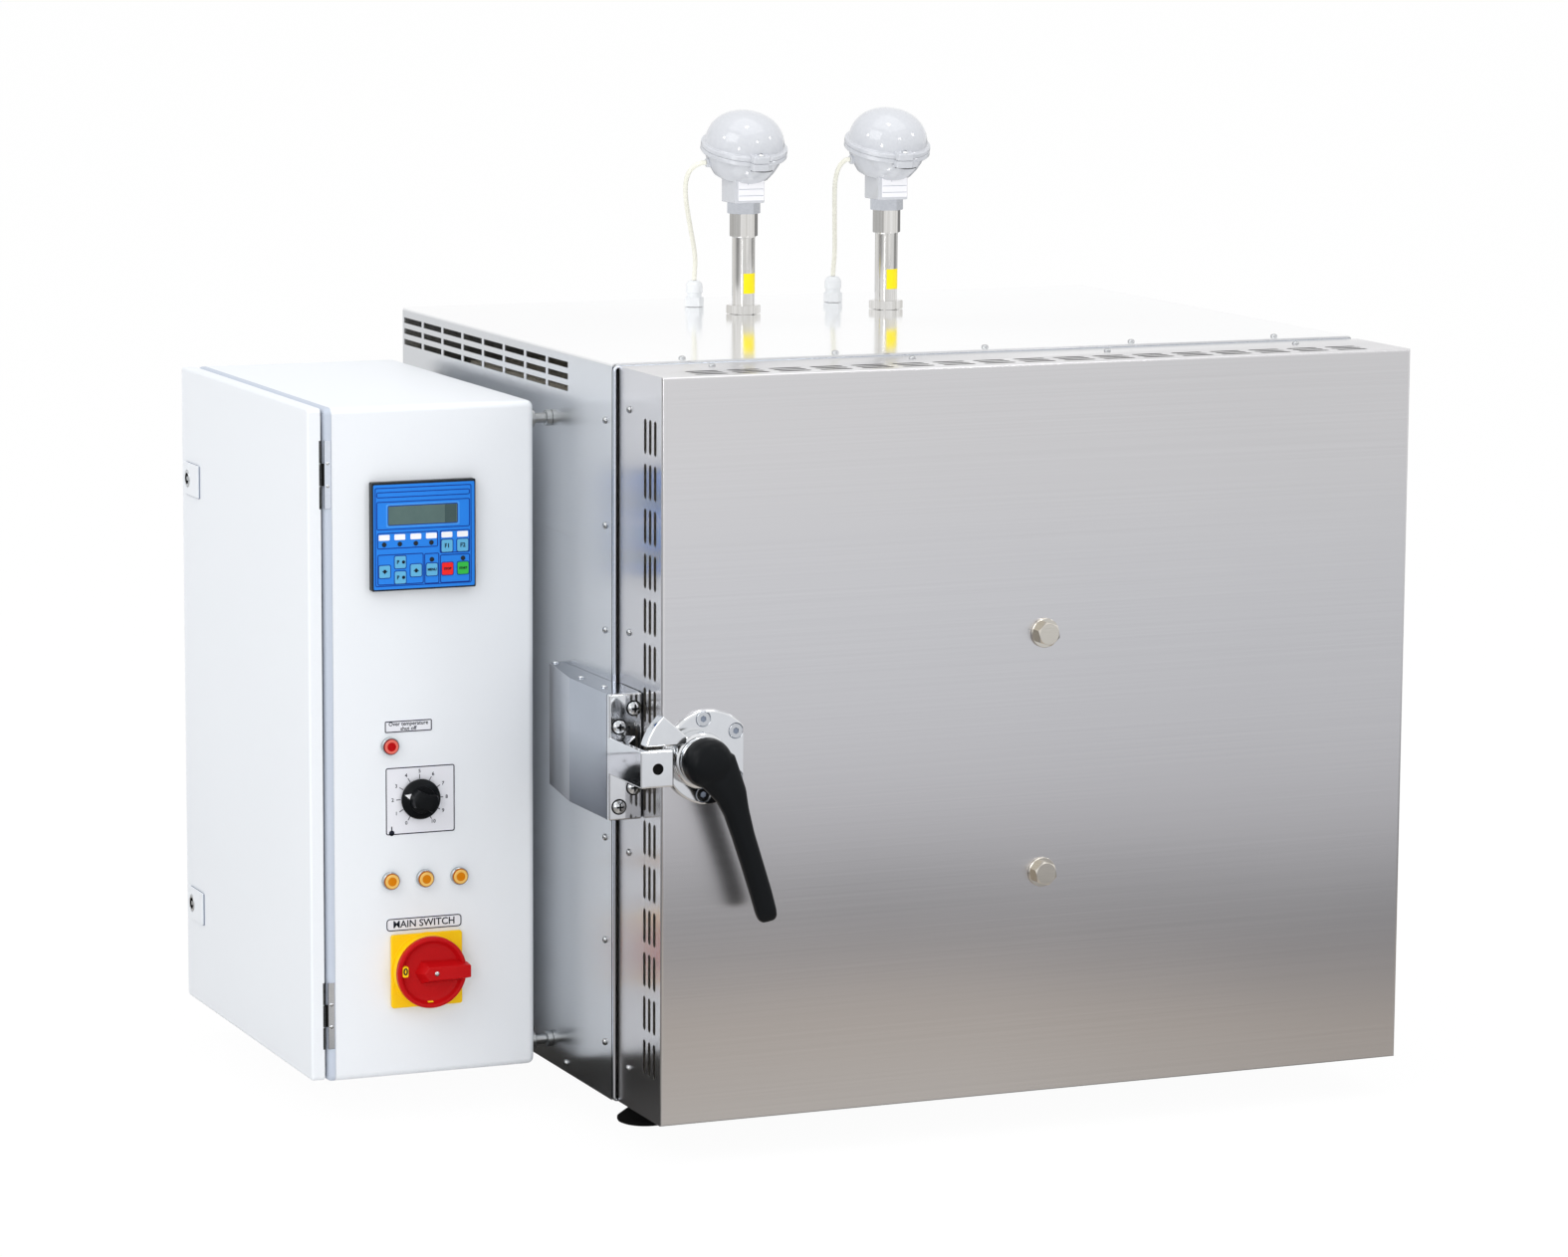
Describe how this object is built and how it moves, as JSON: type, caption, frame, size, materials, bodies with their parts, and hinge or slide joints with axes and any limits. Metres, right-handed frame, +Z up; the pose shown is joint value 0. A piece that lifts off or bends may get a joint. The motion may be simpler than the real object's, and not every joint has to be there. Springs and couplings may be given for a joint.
{
  "type": "high-temperature oven",
  "caption": "Stainless bench oven with a side-hung front door and lever latch, a side control cabinet, levelling feet and roof temperature sensors.",
  "frame": {"origin": "on the floor under the middle of the whole object's box", "axes": "+Z up, +Y from the door to the rear, +X to the right seen from the front"},
  "size_m": [0.9878, 0.7078, 0.8773],
  "materials": {
    "stainless": "brushed stainless sheet",
    "bright_sheet": "bright rolled stainless sheet with clear reflections",
    "polished": "polished stainless",
    "zinc": "zinc-plated sheet and fittings",
    "dark_steel": "dark oxidised metal",
    "fibre": "mineral fibre board",
    "cabinet_paint": "fine-textured light grey powder coat",
    "head_paint": "glossy light grey enamel on cast aluminium",
    "black_plastic": "matt black moulded plastic",
    "rubber": "black rubber",
    "white_plastic": "white nylon",
    "cable_sheath": "cream silicone sheath",
    "amber_lens": "translucent amber lens",
    "red_lens": "translucent red lens",
    "yellow_plastic": "yellow moulded plastic",
    "red_plastic": "red moulded plastic"
  },
  "bodies": {
    "oven": {"casing_wrap": "bright_sheet", "rear_panel": "bright_sheet", "chamber_liner": "stainless", "fan_baffle": "stainless", "ladder_left": "stainless", "ladder_right": "stainless", "shelf": "stainless", "hinge_bracket_upper": "stainless", "hinge_bracket_lower": "stainless", "sensor_stem_left": "stainless", "sensor_stem_right": "stainless", "front_frame": "polished", "strike_cover": "polished", "strike_bracket": "polished", "casing_floor": "zinc", "mounting_plate": "zinc", "standoff_lower_front": "zinc", "standoff_upper_front": "zinc", "standoff_lower_rear": "zinc", "standoff_upper_rear": "zinc", "fan_motor": "dark_steel", "heater_element": "dark_steel", "insulation": "fibre", "cabinet_shell": "cabinet_paint", "sensor_head_left": "head_paint", "sensor_head_right": "head_paint", "controller": "black_plastic", "mains_gland": "black_plastic", "foot_front_left": "rubber", "foot_front_right": "rubber", "foot_rear_left": "rubber", "foot_rear_right": "rubber", "lead_gland_left": "white_plastic", "lead_gland_right": "white_plastic", "sensor_lead_left": "cable_sheath", "sensor_lead_right": "cable_sheath", "pilot_lamp_1": "amber_lens", "pilot_lamp_2": "amber_lens", "pilot_lamp_3": "amber_lens", "alarm_lamp": "red_lens", "switch_plate": "yellow_plastic"},
    "door": {"door_cover": "bright_sheet", "door_liner": "stainless", "door_insulation": "fibre", "door_gasket": "fibre", "latch_plate": "polished", "door_bolt_upper": "polished", "door_bolt_lower": "polished", "hinge_strap_upper": "stainless", "hinge_strap_lower": "stainless"},
    "latch": {"latch_handle": "black_plastic", "latch_cam": "polished"},
    "circulating_fan": {"fan_impeller": "stainless"},
    "cabinet_cover": {"cabinet_door": "cabinet_paint"},
    "lock_upper": {"cabinet_lock_upper": "dark_steel"},
    "lock_lower": {"cabinet_lock_lower": "dark_steel"},
    "lid_left": {"sensor_lid_left": "head_paint"},
    "lid_right": {"sensor_lid_right": "head_paint"},
    "knob": {"temperature_knob": "black_plastic"},
    "main_switch": {"switch_handle": "red_plastic"}
  },
  "joints": [
    {"name": "door_hinge", "type": "hinge", "parent": "oven", "child": "door", "pos_m": [0.4829, -0.20455, 0.36], "axis": [0, 0, 1], "range_deg": [0, 120]},
    {"name": "latch_turn", "type": "hinge", "parent": "door", "child": "latch", "pos_m": [-0.2251, -0.33105, 0.3565], "axis": [0, -1, 0], "range_deg": [0, 75]},
    {"name": "fan_spin", "type": "hinge", "parent": "oven", "child": "circulating_fan", "pos_m": [0.1019, 0.17895, 0.345], "axis": [0, 1, 0], "continuous": true},
    {"name": "cabinet_cover_hinge", "type": "hinge", "parent": "oven", "child": "cabinet_cover", "pos_m": [-0.4798, -0.06505, 0.341], "axis": [0, 0, 1], "range_deg": [0, 120]},
    {"name": "lock_upper_turn", "type": "hinge", "parent": "cabinet_cover", "child": "lock_upper", "pos_m": [-0.4791, 0.28895, 0.538], "axis": [1, 0, 0], "range_deg": [0, 90]},
    {"name": "lock_lower_turn", "type": "hinge", "parent": "cabinet_cover", "child": "lock_lower", "pos_m": [-0.4791, 0.28895, 0.13498], "axis": [1, 0, 0], "range_deg": [0, 90]},
    {"name": "lid_left_hinge", "type": "hinge", "parent": "oven", "child": "lid_left", "pos_m": [0.0227, 0.22917, 0.85368], "axis": [-1, 0, 0], "range_deg": [0, 110]},
    {"name": "lid_right_hinge", "type": "hinge", "parent": "oven", "child": "lid_right", "pos_m": [0.1702, 0.22917, 0.85368], "axis": [-1, 0, 0], "range_deg": [0, 110]},
    {"name": "knob_turn", "type": "hinge", "parent": "oven", "child": "knob", "pos_m": [-0.3896, -0.07605, 0.29002], "axis": [0, 1, 0], "range_deg": [-78, 222]},
    {"name": "main_switch_turn", "type": "hinge", "parent": "oven", "child": "main_switch", "pos_m": [-0.3846, -0.07605, 0.13582], "axis": [0, -1, 0], "range_deg": [0, 90]}
  ]
}
